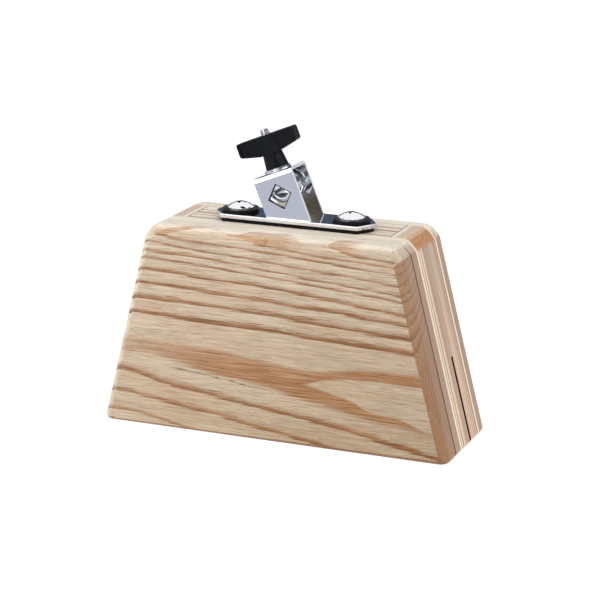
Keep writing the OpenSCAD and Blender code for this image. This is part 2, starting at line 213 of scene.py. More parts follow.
def close_surface(tree, colour, roughness, height, relief, more):
    """Ends a material in its surface: a colour, a roughness, a relief (strength, mm) and more values by name."""
    strength, depth = relief
    bump = add(tree, "Bump", named={"Strength": strength, "Distance": depth * MM, "Height": height})
    named = {"Base Color": colour, "Roughness": roughness, "Normal": bump, **more}
    add(tree, "OutputMaterial", add(tree, "BsdfPrincipled", named=named))


def lay_stops(ramp, stops):
    """Puts the stops of a Color Ramp node, each a place and a grey or a colour."""
    elements = ramp.color_ramp.elements
    while len(elements) < len(stops):
        elements.new(0.5)
    for element, (place, colour) in zip(elements, stops):
        element.position = place
        element.color = (*(colour if hasattr(colour, "__len__") else [colour] * 3), 1)
    return ramp


def new_object(shape, name, material):
    """Turns a bmesh into an object with a material."""
    mesh = bpy.data.meshes.new(name)
    shape.to_mesh(mesh)
    shape.free()
    mesh.materials.append(material)
    made = bpy.data.objects.new(name, mesh)
    bpy.context.scene.collection.objects.link(made)
    return made


def stand_in(shape, node, name, material, body):
    """Stands a shape in for a CAD node, with its flat faces kept flat beside the rounded ones."""
    piece = new_object(shape, name, material)
    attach(piece, body)
    piece.modifiers.new("Flat faces", "WEIGHTED_NORMAL").keep_sharp = True
    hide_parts(node)


def smooth_edges(shape, sharp_angle):
    """Shades a shape smooth, and keeps the edges sharper than an angle."""
    for face in shape.faces:
        face.smooth = True
    for edge in shape.edges:
        edge.smooth = edge.calc_face_angle(0) < sharp_angle


def merged_copy(node):
    """A merged copy of a CAD node's loose triangles."""
    shape = bmesh.new()
    shape.from_mesh(frame["nodes"][node].data)
    bmesh.ops.remove_doubles(shape, verts=shape.verts, dist=MERGE_DISTANCE)
    return shape


def smooth_piece(node, name, material, body):
    """Stands a smoothly shaded copy in for a CAD node with curved faces."""
    shape = merged_copy(node)
    smooth_edges(shape, SMOOTH_ANGLE)
    stand_in(shape, node, name, material, body)


def bevelled_piece(node, name, material, body, width):
    """Stands a copy with small rounded edges in for a CAD node with square ones."""
    shape = merged_copy(node)
    bmesh.ops.dissolve_limit(shape, angle_limit=FLAT_ANGLE, verts=shape.verts, edges=shape.edges)
    bmesh.ops.bevel(
        shape,
        geom=[edge for edge in shape.edges if edge.calc_face_angle(0) > STAMPED_ANGLE],
        offset=width,
        offset_type="OFFSET",
        affect="EDGES",
        segments=3,
        profile=0.5,
        material=-1,
        clamp_overlap=True,
    )
    smooth_edges(shape, STAMPED_ANGLE)
    stand_in(shape, node, name, material, body)


def dress(nodes, material):
    """Gives CAD nodes their material."""
    for node in nodes:
        piece = frame["nodes"][node]
        piece.data.materials.clear()
        piece.data.materials.append(material)


# Where each pattern starts, so that no two of a piece fall together.
PATTERN_STARTS = {
    "board fibre": (0, 0, 0),
    "clouds": (3, 1, 7),
    "pores": (9, 4, 2),
    "streaks": (5, 2, 8),
    "fibre": (1, 7, 3),
    "heart": (8, 6, 1),
    "waves": (0, 0, 0),
    "rubs": (2, 5, 1),
    "grit": (0, 0, 0),
    "dust": (4, 4, 1),
}


def place_in_mm(tree):
    """A spot's place on the object, in mm."""
    return add(tree, "VectorMath:SCALE", add(tree, "TexCoord").outputs["Object"], 1 / MM)


def timber_start(tree):
    """A spot's place in mm, the three parts of it, and the three parts of the way that the surface faces."""
    place = place_in_mm(tree)
    facing = add(tree, "SeparateXYZ", add(tree, "TexCoord").outputs["Normal"])
    return place, add(tree, "SeparateXYZ", place).outputs, facing.outputs


def pattern(tree, place, name, size, detail, roughness=0.55):
    """One of the patterns, drawn out to a real size in mm along each axis."""
    scale = tuple(1 / length for length in size)
    scaled = add(tree, "Mapping", place, PATTERN_STARTS[name], (0, 0, 0), scale, vector_type="POINT")
    return add(tree, "TexNoise", scaled, 1, detail, roughness)


def apart(tree, value, other):
    """How far apart two values are."""
    return add(tree, "Math:ABSOLUTE", add(tree, "Math:SUBTRACT", value, other))


# Satin lacquer: its relief, how far the grain makes it rougher or smoother, its gloss, and its thin coat.
LACQUER_RELIEF, LACQUER_RANGE, ROUGHER, SMOOTHER = (0.35, 0.03), (0.2, 0.8), 0.06, 0.05
LACQUER_IOR, LACQUER_GLOSS, COAT_WEIGHT, COAT_ROUGHNESS = 1.45, 0.5, 0.12, 0.3


def lacquered(tree, colour, height, roughness, matt=None):
    """Satin lacquer over a colour, with the timber's relief in it, and none where a share of a spot is matt."""
    spread = add(tree, "MapRange", height, *LACQUER_RANGE, roughness + ROUGHER, roughness - SMOOTHER)
    gloss, coat = LACQUER_GLOSS, COAT_WEIGHT
    if matt is not None:
        gloss, coat = (add(tree, "MapRange", matt, 0, 1, full, 0) for full in (gloss, coat))
    lacquer = {
        "IOR": LACQUER_IOR,
        "Specular IOR Level": gloss,
        "Coat Weight": coat,
        "Coat Roughness": COAT_ROUGHNESS,
    }
    close_surface(tree, colour, spread, height, LACQUER_RELIEF, lacquer)


# Half the run of the struck face's figure along X, its lowest place and its height, in mm.
FIGURE_SPAN, FIGURE_FLOOR, FIGURE_HEIGHT = 115.0, -10.0, 160.0

# Growth lines of the struck face, as places (x, height) in mm. The height runs on round the upper edge. Each has
# its strength, the mm over which it fades above and below, and the x from which it shows, if not all along.
GROWTH_LINES = (
    (0.75, 1.9, 0.9, None, ((-115, 8.2), (-88, 6.5), (-71, 3.6), (-50, -1), (115, -9))),
    (0.85, 2.6, 1.2, None, (
        (-115, 21.3), (-104, 20), (-76, 17.1), (-41, 13), (-18, 9.4), (6, 5.9), (21, 3.6), (60, -3), (115, -9),
    )),
    (0.90, 3.0, 1.3, None, (
        (-115, 35.6), (-93, 34.3), (-76, 30), (-53, 26.5), (-29, 22.9), (-6, 20), (18, 17.6), (53, 13), (82, 7.1),
        (103, 3.6), (115, 1.5),
    )),
    (1.00, 2.8, 1.2, None, (
        (-115, 73), (-91, 72.2), (-62, 71.6), (-40, 70.8), (-5, 70), (40, 68.6), (80, 66.2), (115, 64),
    )),
    (1.00, 2.6, 1.1, None, (
        (-115, 82.8), (-88, 82.3), (-62, 81.8), (-40, 80.7), (-5, 80), (80, 74.9), (115, 72.5),
    )),
    (0.95, 2.4, 1.0, None, (
        (-115, 91.6), (-86, 91.3), (-62, 91.1), (-35, 89.7), (-5, 88.2), (80, 83.3), (115, 81),
    )),
    (0.90, 2.0, 0.9, None, (
        (-115, 101), (-84, 100.7), (-64, 100.1), (-46, 98.5), (-5, 97), (80, 89.4), (115, 87),
    )),
    (0.90, 1.2, 0.8, None, ((-115, 109), (-82, 108.2), (-5, 103.4), (80, 96.9), (115, 94))),
    (0.85, 1.2, 0.8, None, ((-115, 113.5), (-81, 112.7), (-5, 107.4), (80, 100.9), (115, 98))),
    (0.85, 1.2, 0.8, None, ((-115, 119.5), (-79, 118.4), (-62, 116.5), (-5, 113), (80, 106.8), (115, 104))),
    (0.85, 1.3, 0.8, -80, (
        (-115, 127), (-75, 123.3), (-62, 121.5), (-46, 120.6), (-22, 119.3), (10, 117.7), (80, 112.6), (115, 110),
    )),
    (0.80, 1.3, 0.7, -12, (
        (-115, 140), (-17, 127.5), (-11, 124.7), (-4, 122.8), (12, 121.1), (35, 119.5), (79, 116.7), (115, 114),
    )),
    (0.80, 1.3, 0.7, 36, (
        (-115, 145), (33, 131), (38, 127.6), (44, 124.6), (51, 122.8), (63, 121.6), (79, 120.5), (115, 117),
    )),
)

# Broad figure between an upper and a lower line: the flame, and the arrows on the upper edge. Each has the mm over
# which its rim fades, a run (x from, x to, share there, share there) along which it comes or goes, and both lines.
FLAME = (2.0, (-110, -30, 0.35, 1), (
    (-115, 57), (-89, 56.4), (-62, 55.2), (-36, 54.1), (-6, 50.5), (29, 48.2), (59, 52.8), (93, 53.4), (115, 53),
), (
    (-115, 48), (-89, 46.5), (-70, 44), (-46, 39.9), (1, 34.1), (18, 30), (41, 25.9), (65, 22.3), (90, 19.7),
    (115, 16.5),
))
ARROWS = (
    (0.8, (-66, -42, 1, 0.6), (
        (-115, 112), (-76.5, 121), (-75.3, 123.5), (-70.4, 127.3), (-62.8, 131.3), (-53.4, 136), (-46, 138),
        (-41, 136.8), (-38, 134), (-30, 122), (115, 112),
    ), (
        (-115, 136), (-76.5, 125), (-75.3, 122.9), (-67.9, 123.9), (-64, 126.6), (-58, 128.9), (-51.8, 131.3),
        (-45, 134.3), (-40.4, 136), (-30, 142), (115, 148),
    )),
    (0.8, (0, 20, 1, 0.25), (
        (-115, 112), (-30, 126), (-28.3, 129.2), (-22.2, 129.8), (-18.3, 132.2), (-13.9, 136.1), (-7.9, 137.3),
        (-0.3, 137), (5.6, 139), (12, 136.5), (18, 131), (22, 125), (26, 120), (115, 112),
    ), (
        (-115, 142), (-30, 131), (-28.2, 128.4), (-20.3, 127), (-13.6, 125.4), (-9.5, 123.4), (-4.3, 122.1),
        (2.2, 122), (10, 121.6), (18, 122.5), (22, 126), (26, 130), (115, 146),
    )),
    (0.8, (45, 61, 1, 0), (
        (-115, 112), (35.8, 125), (37.2, 128.7), (39.7, 132.5), (42.3, 136.8), (47.5, 139.4), (53.2, 140.2),
        (62, 140.2), (115, 140),
    ), (
        (-115, 146), (35.8, 131), (37.2, 128), (43.9, 124.7), (49.3, 123), (57.3, 122.3), (62, 122.3), (115, 122),
    )),
)
# Pale core inside the flame: its two lines, and the mm over which its rim fades.
CORE = (
    ((-115, 41.6), (0, 41.6), (22, 40.2), (35, 43.5), (59, 46.4), (96, 46.4), (115, 46)),
    ((-115, 41.6), (0, 41.6), (22, 39.9), (35, 37), (53, 32.3), (65, 27.1), (82, 25), (103, 18.6), (115, 17)),
    0.9,
)
# Strength of an arrow, from outside it (0) through its rim to its middle (1).
ARROW_TONES = ((0.0, 0.0), (0.2, 0.15), (0.45, 1.0), (0.7, 0.85), (1.0, 0.78))
# Pin knot in the middle arrow: place, half width and half height in mm, and its tones from the middle out.
KNOT = (-2.6, 126.3, 1.5, 2.3)
KNOT_TONES = ((0.0, 0.8), (0.3, 0.7), (0.42, 0.1), (0.6, 0.1), (0.72, 0.8), (0.85, 0.6), (1.0, 0.0))
# Hair crack below the flame: its line, the mm over which it fades, and the middle of its run along X. The last is
# the range of mm from that middle over which it dies away.
CRACK = ((-115, 42.8), (-70, 39.3), (-46, 37.6), (-18, 34.1), (0, 32.8), (40, 29.8), (115, 24.8))
CRACK_FADE, CRACK_STRENGTH = (0.05, 0.45), 0.8
CRACK_MIDDLE, CRACK_RUN = -35.0, (24, 38, 1, 0)

# Sizes of the board's patterns in mm. The pores are thinner than the fibres by a share.
CLOUD_SIZE = (70, 16, 11)
PORE_LENGTH, PORE_SHARE = 15, 0.6
# The mm by which the clouds bend the figure, and the fibres and the pores tear it.
CLOUD_BEND, FIBRE_TEAR, RUN_TEAR = 3.0, 4.2, 30.0
# A stripe's rim above and below in shares of its fades, how far the pores feather it, the range of what is left,
# and the mm over which it comes in.
RIM_ABOVE, RIM_BELOW, FEATHER, FEATHERED, STRIPE_START = (0.1, 1.6), -0.7, 3.2, (0.15, 0.75), 8

# Ranges for a Map Range: from, to, and what these become, which is 0 and 1 where it isn't given.
STRIPE_GRAIN, FLAME_GRAIN, ARROW_GRAIN = (0.3, 0.6, 0.65, 1), (0.36, 0.6, 0.55, 1), (0.36, 0.56, 1, 0.55)
CLOUDY = (0.35, 0.65)
# Painted light: the struck board turns cream on its up-facing faces and on its left rounding, where the key lamp falls.
TOP_PAINTED_LIGHT, LEFT_PAINTED_LIGHT = (0.5, 1.0, 0, 0.9), (-0.1, -0.55, 0, 0.6)
STRIPE_FOOT = (0.55, 0.92, 0, 0.85)
PORES = (0.48, 0.34, 0, 0.75)
INNER_RINGS = (0.2, 1, 0, 0.45)
BOARD_GRADE = (0.34, 0.66, 1.13, 0.79)
# Share of the pores on plain wood, and what is added on figured wood.
PLAIN_PORES, FIGURED_PORES = 0.6, 0.4

# A face is a cut end by how far it looks along X, less what it looks up: so a cut corner isn't one.
UP_SHARE = -1.6
RIGHT_END, LEFT_END = (0.03, 0.09), (-0.95, -0.82, 1, 0)
# Foot and shoulder of the sloping end, and the thickness of its rail, in mm.
END_FACE = ((115.0, 0.0), (84.0, 122.0))
END_RAIL_T = 15.5
# Middle of the growth rings as they show on the cut ends: mm behind the struck face, and height.
RING_DEPTH, RING_HEIGHT = 41.0, 45.0
# Share of the depth at which the rings are drawn, and the mm that an end's rounding adds, by the mm from that end.
RING_SHARE, ROUNDING_SHARE, ROUNDING = 0.75, -0.6, 3.4
# Rings inside the last that meets the face, in radians a mm, and how dark the rings of the stripes are.
INNER_TURN, RING_STRENGTH = 1.5, 0.6

# Painted shade: the board is darker and browner towards its right foot, where less of the key lamp's light falls.
# The slope of that painted shade, its mm from foot to top, its value and the saturation that goes with it.
PAINTED_SHADE_SLOPE, PAINTED_SHADE_RANGE = -0.42, (-48, 110, 0.825, 1.035)
PAINTED_SHADE_SATURATION = (0.825, 1.02, 1.2, 1.03)


def figure_line(tree, across, places):
    """Height of a drawn line above each place, as a share of the figure's height."""
    curve = add(tree, "FloatCurve", 1, across)
    line = curve.mapping.curves[0]
    while len(line.points) < len(places):
        line.points.new(0.5, 0.5)
    for point, (x, z) in zip(line.points, places):
        point.location = ((x + FIGURE_SPAN) / (2 * FIGURE_SPAN), (z - FIGURE_FLOOR) / FIGURE_HEIGHT)
    curve.mapping.update()
    return curve


def between(tree, level, across, upper, lower, fade):
    """Share of a spot between two lines of the figure, faded over some mm."""
    shares = []
    for places, reach in ((upper, -fade / FIGURE_HEIGHT), (lower, fade / FIGURE_HEIGHT)):
        off = add(tree, "Math:SUBTRACT", level, figure_line(tree, across, places))
        shares.append(add(tree, "MapRange", off, -reach, reach, **EASED))
    return add(tree, "Math:MULTIPLY", *shares)


def end_distance(tree, x, z):
    """Distance in mm from a spot out to the plane of the nearer sloping end."""
    foot, shoulder = END_FACE
    slope = math.atan2(foot[0] - shoulder[0], shoulder[1] - foot[1])
    side = add(tree, "Math:ABSOLUTE", x)
    out = add(tree, "Math:MULTIPLY_ADD", side, -math.cos(slope), foot[0] * math.cos(slope))
    return add(tree, "Math:MULTIPLY_ADD", z, -math.sin(slope), out)


def ring_height(tree, depth, height):
    """Height at which a spot's ring meets the struck face, and how far the spot lies inside the last that does."""
    above = add(tree, "Math:SUBTRACT", height, RING_HEIGHT)
    square = add(tree, "Math:MULTIPLY", above, above)
    chord = add(tree, "Math:SUBTRACT", 2 * RING_DEPTH, depth)
    power = add(tree, "Math:MULTIPLY", depth, chord)
    rest = add(tree, "Math:SUBTRACT", square, power)
    roots = []
    for value in (rest, add(tree, "Math:MULTIPLY", rest, -1.0)):
        value = add(tree, "Math:MAXIMUM", value, 0.0)
        roots.append(add(tree, "Math:SQRT", value))
    side = add(tree, "Math:SIGN", above)
    met = add(tree, "Math:MULTIPLY_ADD", roots[0], side, RING_HEIGHT)
    return met, roots[1]


def growth_stripes(tree, level, across, x, torn):
    """Strength of the growth stripes, each sharp at its foot and feathered out along the pores above."""
    stripes = None
    for strength, above, below, start, places in GROWTH_LINES:
        off = add(tree, "Math:SUBTRACT", level, figure_line(tree, across, places))
        rim = [share * above / FIGURE_HEIGHT for share in RIM_ABOVE]
        upper = add(tree, "MapRange", off, *rim, 1, 0)
        upper = add(tree, "Math:MULTIPLY_ADD", torn, FEATHER, upper)
        upper = add(tree, "MapRange", upper, *FEATHERED, **EASED)
        lower = add(tree, "MapRange", off, RIM_BELOW * below / FIGURE_HEIGHT, 0, 0, strength, **EASED)
        one = add(tree, "Math:MULTIPLY", upper, lower)
        if start is not None:
            seen = add(tree, "MapRange", x, start, start + STRIPE_START, **EASED)
            one = add(tree, "Math:MULTIPLY", one, seen)
        stripes = one if stripes is None else add(tree, "Math:MAXIMUM", stripes, one)
    return stripes


def torn_shape(tree, level, across, x, torn, shape):
    """Share of a spot inside a broad shape of the figure, and what is left of that shape there along its run."""
    fade, run, upper, lower = shape
    ragged = add(tree, "Math:MULTIPLY_ADD", torn, RUN_TEAR, x)
    return between(tree, level, across, upper, lower, fade), add(tree, "MapRange", ragged, *run, **EASED)


def broad_figure(tree, level, across, x, torn):
    """Strength of the flame round its pale core, and of the arrows."""
    inside, left = torn_shape(tree, level, across, x, torn, FLAME)
    outside = add(tree, "Math:SUBTRACT", 1.0, between(tree, level, across, *CORE))
    flame = add(tree, "Math:MULTIPLY", add(tree, "Math:MULTIPLY", inside, outside), left)
    arrows = None
    for shape in ARROWS:
        inside, left = torn_shape(tree, level, across, x, torn, shape)
        arrow = add(tree, "Math:MULTIPLY", lay_stops(add(tree, "ValToRGB", inside), ARROW_TONES), left)
        arrows = arrow if arrows is None else add(tree, "Math:MAXIMUM", arrows, arrow)
    return flame, arrows


def pin_knot(tree, x, unrolled):
    """Strength of the pin knot's rings, by the distance from its middle."""
    middle_x, middle_z, half_width, half_height = KNOT
    aside = add(tree, "Math:MULTIPLY_ADD", x, 1 / half_width, -middle_x / half_width)
    above = add(tree, "Math:MULTIPLY_ADD", unrolled, 1 / half_height, -middle_z / half_height)
    off = add(tree, "VectorMath:LENGTH", add(tree, "CombineXYZ", aside, above))
    return lay_stops(add(tree, "ValToRGB", off), KNOT_TONES)


def hair_crack(tree, level, across, x):
    """Strength of the hair crack, which dies away towards both ends."""
    off = apart(tree, level, figure_line(tree, across, CRACK))
    crack = add(tree, "MapRange", off, *(mm / FIGURE_HEIGHT for mm in CRACK_FADE), CRACK_STRENGTH, 0)
    reach = add(tree, "MapRange", apart(tree, x, CRACK_MIDDLE), *CRACK_RUN, **EASED)
    return add(tree, "Math:MULTIPLY", crack, reach)


def ash_board_material(wood):
    """The struck board's ash, with its figure on the face and round the upper edge, and its rings on the ends."""
    material, tree = new_material("Flat-sawn ash, satin lacquer")
    place, (x, y, z), (faces_x, _, faces_z) = timber_start(tree)
    front, glued = (corner.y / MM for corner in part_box("front_board"))
    thin = wood.fibre_width / MM
    fine = pattern(tree, place, "board fibre", (wood.fibre_length / MM, thin, thin), 4, 0.6)
    broad = pattern(tree, place, "clouds", CLOUD_SIZE, 1)
    hair = pattern(tree, place, "pores", (PORE_LENGTH, PORE_SHARE * thin, PORE_SHARE * thin), 3, 0.6)

    # Cut ends of the grain: all of the right end below its cut corner, and the left end behind its rounding.
    right = add(tree, "Math:MULTIPLY_ADD", faces_z, UP_SHARE, faces_x)
    right = add(tree, "MapRange", right, *RIGHT_END, **EASED)
    left = add(tree, "MapRange", faces_x, *LEFT_END, **EASED)
    cut = add(tree, "Math:MAXIMUM", right, left)

    # Place on the figure. On the cut ends it is that of the ring through the spot.
    depth = add(tree, "Math:SUBTRACT", y, front)
    unrolled = add(tree, "Math:ADD", z, depth)
    turned = add(tree, "Math:MULTIPLY_ADD", end_distance(tree, x, z), ROUNDING_SHARE, ROUNDING)
    turned = add(tree, "Math:MAXIMUM", turned, 0.0)
    turned = add(tree, "Math:MULTIPLY_ADD", depth, RING_SHARE, turned)
    ring, inner = ring_height(tree, turned, z)
    height = add(tree, "Mix", cut, unrolled, ring)
    wave = add(tree, "Math:MULTIPLY_ADD", broad, CLOUD_BEND, height)
    ragged = add(tree, "Math:MULTIPLY_ADD", fine, FIBRE_TEAR, wave)
    lowest = FIGURE_FLOOR + (CLOUD_BEND + FIBRE_TEAR) / 2
    level = add(tree, "MapRange", ragged, lowest, lowest + FIGURE_HEIGHT, clamp=False)
    across = add(tree, "MapRange", x, -FIGURE_SPAN, FIGURE_SPAN)

    # How far the pores tear the figure, to both sides of their pattern's middle.
    torn = add(tree, "Math:SUBTRACT", hair, 0.5)
    stripes = growth_stripes(tree, level, across, x, torn)
    flame, arrows = broad_figure(tree, level, across, x, torn)
    stripes, flame, arrows = (
        add(tree, "Math:MULTIPLY", figure, add(tree, "MapRange", grain, *tone))
        for figure, grain, tone in (
            (stripes, fine, STRIPE_GRAIN), (flame, fine, FLAME_GRAIN), (arrows, hair, ARROW_GRAIN),
        )
    )
    # Painted light from the key lamp above and to the left: cream on top and on the left rounding.
    top = add(tree, "MapRange", faces_z, *TOP_PAINTED_LIGHT, **EASED)
    painted_light = add(tree, "Math:MAXIMUM", top, add(tree, "MapRange", faces_x, *LEFT_PAINTED_LIGHT))
    foot = add(tree, "MapRange", stripes, *STRIPE_FOOT, **EASED)
    crack = hair_crack(tree, level, across, x)
    figured = add(tree, "Math:MAXIMUM", stripes, flame)
    figured = add(tree, "Math:MULTIPLY_ADD", figured, FIGURED_PORES, PLAIN_PORES)
    pores = add(tree, "Math:MULTIPLY", add(tree, "MapRange", hair, *PORES), figured)
    clouds = add(tree, "MapRange", broad, *CLOUDY, **EASED)
    ash = add(tree, "Mix", clouds, wood.pale, wood.tinge, **COLOUR)
    for share, colour in (
        (painted_light, wood.cream),
        (flame, wood.flame),
        (arrows, wood.arrow),
        (stripes, wood.stripe),
        (foot, wood.foot),
        (pin_knot(tree, x, unrolled), wood.foot),
        (crack, wood.crack),
        (pores, wood.fibre),
    ):
        ash = add(tree, "Mix", share, ash, colour, **COLOUR)

    turn = add(tree, "Math:MULTIPLY", inner, INNER_TURN)
    inside = add(tree, "MapRange", add(tree, "Math:SINE", turn), *INNER_RINGS)
    rings = add(tree, "Math:MULTIPLY", stripes, RING_STRENGTH)
    rings = add(tree, "Math:MAXIMUM", rings, inside)
    ends = add(tree, "Mix", rings, wood.end_pale, wood.end_dark, **COLOUR)
    ash = add(tree, "Mix", cut, ash, ends, **COLOUR)
    ash, seam = glue_seam(tree, wood, ash, y, faces_z, glued)

    # Painted shade: darker and browner towards the right foot, standing in for the key lamp's falloff.
    painted_shade = add(tree, "Math:MULTIPLY_ADD", x, PAINTED_SHADE_SLOPE, z)
    painted_shade = add(tree, "MapRange", painted_shade, *PAINTED_SHADE_RANGE)
    shade_saturation = add(tree, "MapRange", painted_shade, *PAINTED_SHADE_SATURATION)
    grade = add(tree, "Math:MULTIPLY", add(tree, "MapRange", fine, *BOARD_GRADE), painted_shade)
    ash = add(tree, "HueSaturation", named={"Color": ash, "Saturation": shade_saturation, "Value": grade})
    lacquered(tree, ash, hair, wood.roughness, add(tree, "Math:MAXIMUM", crack, seam))
    return material


# A glue line: the mm over which it fades, and its strength by how far the face looks up.
GLUE_FADE, GLUE_ON_TOP = (0.5, 1.1, 0.9, 0), (0.5, 0.9, 1, 0.15)


def glue_seam(tree, wood, colour, y, faces_z, glued):
    """The glue line where two layers meet at a depth in mm: dark on the ends, all but lost on top."""
    line = add(tree, "MapRange", apart(tree, y, glued), *GLUE_FADE, **EASED)
    line = add(tree, "Math:MULTIPLY", line, add(tree, "MapRange", faces_z, *GLUE_ON_TOP))
    return add(tree, "Mix", line, colour, wood.glue, **COLOUR), line


# Straight grain: the width of the streaks in mm and their strength in each layer, the mm that they run on, the
# range of the pattern that is streak, and the fibres' light and dark.
BACK_GRAIN, LINER_GRAIN, VENEER_GRAIN, LEVEL_GRAIN = (5.0, 0.8), (2.2, 0.5), (1.0, 0.6), (2.6, 0.8)
STREAK_LENGTH = 400
PLAIN_STREAKS, PLAIN_GRADE = (0.45, 0.62), (0.3, 0.7, 0.9, 1.06)
# How far a face looks up or out to be a top, which gets painted light from above, or a cut end, and the share of the
# streaks that goes on there.
PLAIN_TOP_LIGHT, PLAIN_END = (0.4, 1.0, 0.5), (0.1, 0.2, 0.15)


def plain_timber_material(name, wood, pale, dark, grain, top=None, end=None, glue_at=None):
    """Straight-grained timber along X: streaks of a width and strength, with a top colour painted on as light from
    above, and its own look on cut ends.
    """
    material, tree = new_material(name)
    place, (_, y, _), (faces_x, _, faces_z) = timber_start(tree)
    width, strength = grain
    thin = PORE_SHARE * wood.fibre_width / MM
    coarse = pattern(tree, place, "streaks", (STREAK_LENGTH, width, width), 2)
    fine = pattern(tree, place, "fibre", (wood.fibre_length / MM, thin, thin), 2)
    streaks = add(tree, "MapRange", coarse, *PLAIN_STREAKS, 0, strength, **EASED)
    body = add(tree, "Mix", streaks, pale, dark, **COLOUR)
    # A top colour is painted light from above; an end colour is the cut end grain's own.
    for colour, faces, (low, high, share) in ((top, faces_z, PLAIN_TOP_LIGHT), (end, faces_x, PLAIN_END)):
        if colour is not None:
            side = add(tree, "Math:ABSOLUTE", faces)
            if faces is faces_x:
                side = add(tree, "Math:MULTIPLY_ADD", faces_z, UP_SHARE, side)
            streaked = add(tree, "Math:MULTIPLY", streaks, share)
            other = add(tree, "Mix", streaked, colour, wood.stripe, **COLOUR)
            body = add(tree, "Mix", add(tree, "MapRange", side, low, high, **EASED), body, other, **COLOUR)
    seam = None
    if glue_at is not None:
        body, seam = glue_seam(tree, wood, body, y, faces_z, glue_at / MM)
    grade = add(tree, "MapRange", fine, *PLAIN_GRADE)
    shade = add(tree, "HueSaturation", named={"Color": body, "Value": grade})
    lacquered(tree, shade, fine, wood.roughness, seam)
    return material


# Sizes in mm of the end rails' patterns, which run up the slope: streaks, broad heart and fine fibre.
RAIL_STREAK, RAIL_HEART, RAIL_FIBRE = (400, 2.0, 400), (400, 4.5, 400), (40, 0.7, 40)
RAIL_STREAKS, RAIL_GREYS, RAIL_GRADE = (0.42, 0.6, 0, 1), (0.5, 0.6), (0.3, 0.7, 0.88, 1.07)
# Depths of the two pale lines in mm, and the mm over which they fade.
RAIL_LINES, RAIL_LINE_FADE = (-6.8, -3.0), (0.5, 1.0, 0.9, 0)
# Rings on the cut top: where that top starts, their bow, waver and turns in radians a mm, and their strength.
RAIL_TOP, RAIL_BOW, RAIL_WAVER, RAIL_TURN, RAIL_RINGS = (0.4, 0.52), 0.018, 3.0, 2.2, (-0.2, 1, 0, 0.4)
# How much creamier the level top is, as painted light from above, and the pale strip and dark seam by its inner face,
# in mm from the end.
RAIL_TOP_LIGHT = (0.8, 1, 0, 0.45)
RAIL_STRIP = (END_RAIL_T - 3.9, END_RAIL_T - 3.2, 0, 0.85)
RAIL_SEAM = (END_RAIL_T - 1.0, END_RAIL_T - 0.6, 0, 0.75)
# How far a face looks along Y to be a wall of the slot, which is painted dark as shade.
SLOT_SHADE_WALL = (0.6, 0.8)


def end_rail_material(wood):
    """Upright ash: streaks down the slope of the end, ringed end grain on top, a pale strip and a dark seam inside."""
    material, tree = new_material("End rail, sawn ash")
    place, (x, y, z), (_, faces_y, faces_z) = timber_start(tree)
    streak = pattern(tree, place, "streaks", RAIL_STREAK, 3)
    heart = pattern(tree, place, "heart", RAIL_HEART, 1)
    fine = pattern(tree, place, "fibre", RAIL_FIBRE, 2)
    grey = add(tree, "MapRange", heart, *RAIL_GREYS, **EASED)
    body = add(tree, "Mix", grey, wood.rail, wood.rail_grey, **COLOUR)
    streaks = add(tree, "MapRange", streak, *RAIL_STREAKS, **EASED)
    body = add(tree, "Mix", streaks, body, wood.rail_dark, **COLOUR)
    for at in RAIL_LINES:
        line = add(tree, "MapRange", apart(tree, y, at), *RAIL_LINE_FADE)
        body = add(tree, "Mix", line, body, wood.veneer, **COLOUR)

    # End grain on the top and on the cut corner, with rings that bow towards the end.
    side = add(tree, "Math:ABSOLUTE", x)
    bow = add(tree, "Math:MULTIPLY", y, y)
    bow = add(tree, "Math:MULTIPLY_ADD", bow, RAIL_BOW, side)
    turn = add(tree, "Math:MULTIPLY_ADD", streak, RAIL_WAVER, bow)
    turn = add(tree, "Math:MULTIPLY", turn, RAIL_TURN)
    rings = add(tree, "MapRange", add(tree, "Math:SINE", turn), *RAIL_RINGS)
    top = add(tree, "Mix", rings, wood.rail_end, wood.stripe, **COLOUR)
    within = end_distance(tree, x, z)
    # The level top turns creamier as painted light from above; the pale strip and the dark seam are the rail's own.
    for value, reach, colour in (
        (faces_z, RAIL_TOP_LIGHT, wood.cream),
        (within, RAIL_STRIP, wood.cream),
        (within, RAIL_SEAM, wood.glue),
    ):
        top = add(tree, "Mix", add(tree, "MapRange", value, *reach), top, colour, **COLOUR)
    cut = add(tree, "MapRange", faces_z, *RAIL_TOP, **EASED)
    body = add(tree, "Mix", cut, body, top, **COLOUR)

    # Painted shade: the walls of the deep narrow slot are laid nearly black and matt, for the shade inside it.
    wall = add(tree, "MapRange", add(tree, "Math:ABSOLUTE", faces_y), *SLOT_SHADE_WALL)
    body = add(tree, "Mix", wall, body, wood.slot, **COLOUR)
    grade = add(tree, "MapRange", fine, *RAIL_GRADE)
    shade = add(tree, "HueSaturation", named={"Color": body, "Value": grade})
    lacquered(tree, shade, fine, wood.roughness, wall)
    return material


# Roughness of each metal, and the size in mm of its faint waves.
CHROME, DOMES, STEEL, BRASS = (0.05, 9), (0.04, 9), (0.12, 4), (0.25, 3)
# Relief of the waves, and the rubs of polishing and use, in mm. Real rubs are finer: these are as coarse as they
# need to be to show, as a touch more roughness.
WAVE_RELIEF = (0.12, 0.05)
RUB_SIZE, RUB_RANGE, RUB_ROUGHER = (6, 0.5, 0.5), (0.4, 0.75), 0.08
# Inside of the bracket, where a darker tone is painted shade and a painted reflection of the wood: half the width
# between its walls, how deep into them that tone fades, and the heights over which light comes in above, all in mm, and
# the roughness of the thin plating there.
BRACKET_INNER, WALL_FADE, BRACKET_LIT, INSIDE_ROUGHNESS = 9.5, (0.1, 0.4), (139, 145), 0.3
# Middle of the square rod holes, half their diagonal with the rounded rim, and the fade of that rim, whose dark tone is
# a painted reflection, in mm.
HOLE_MIDDLE, HOLE_REACH, HOLE_RIM_REFLECTION = (-3.62, 0.0, 147.91), 7.7, (0.45, 0.85, 0.95, 0)


